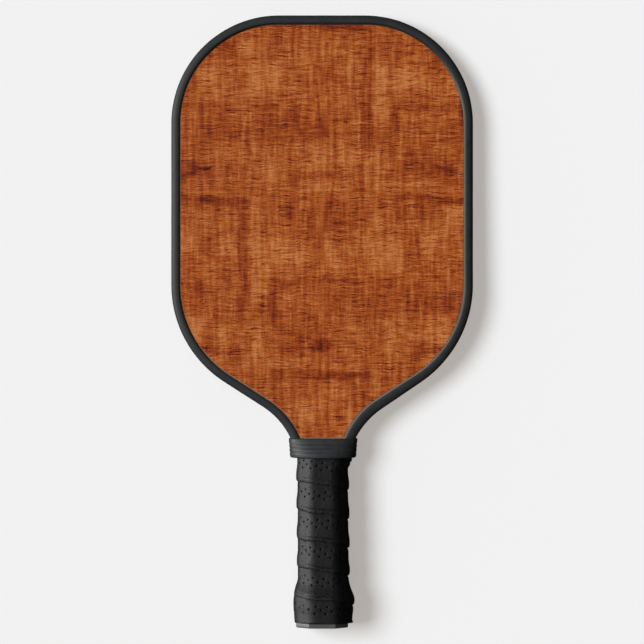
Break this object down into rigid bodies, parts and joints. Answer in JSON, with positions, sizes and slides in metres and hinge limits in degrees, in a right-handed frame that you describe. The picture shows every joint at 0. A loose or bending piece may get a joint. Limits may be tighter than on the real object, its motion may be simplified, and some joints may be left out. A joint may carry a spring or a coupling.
{
  "type": "pickleball paddle",
  "caption": "Wide-body pickleball paddle with a wood-look face, black rubber edge guard, ribbed collar and perforated spiral-wrapped handle with a flared butt.",
  "frame": {"origin": "centre of the butt's flat end face, on the blade's mid-plane", "axes": "+Y along the handle from the butt to the blade's tip, +X across the blade, +Z out of the front hitting face"},
  "size_m": [0.1972, 0.4, 0.0358],
  "materials": {
    "honeycomb": "satin",
    "adhesive": "matte",
    "face_laminate": "satin",
    "wood_film": "satin",
    "guard_rubber": "satin",
    "handle_plastic": "satin",
    "cap_plastic": "satin",
    "staple_steel": "satin",
    "badge_plastic": "satin",
    "grip_tape": "satin",
    "finishing_tape": "satin",
    "collar_rubber": "matte"
  },
  "bodies": {
    "root": {"honeycomb_core": "honeycomb", "front_bond_film": "adhesive", "back_bond_film": "adhesive", "front_face_sheet": "face_laminate", "back_face_sheet": "face_laminate", "front_print_film": "wood_film", "back_print_film": "wood_film", "edge_guard": "guard_rubber", "edge_guard_tape": "adhesive", "handle_front_half": "handle_plastic", "handle_back_half": "handle_plastic", "front_handle_bond_tape": "adhesive", "back_handle_bond_tape": "adhesive", "butt_cap": "cap_plastic", "butt_cap_staples": "staple_steel", "end_badge": "badge_plastic", "grip_backing_tape": "adhesive", "grip_wrap": "grip_tape", "finishing_tape": "finishing_tape", "rubber_collar": "collar_rubber"}
  },
  "joints": []
}
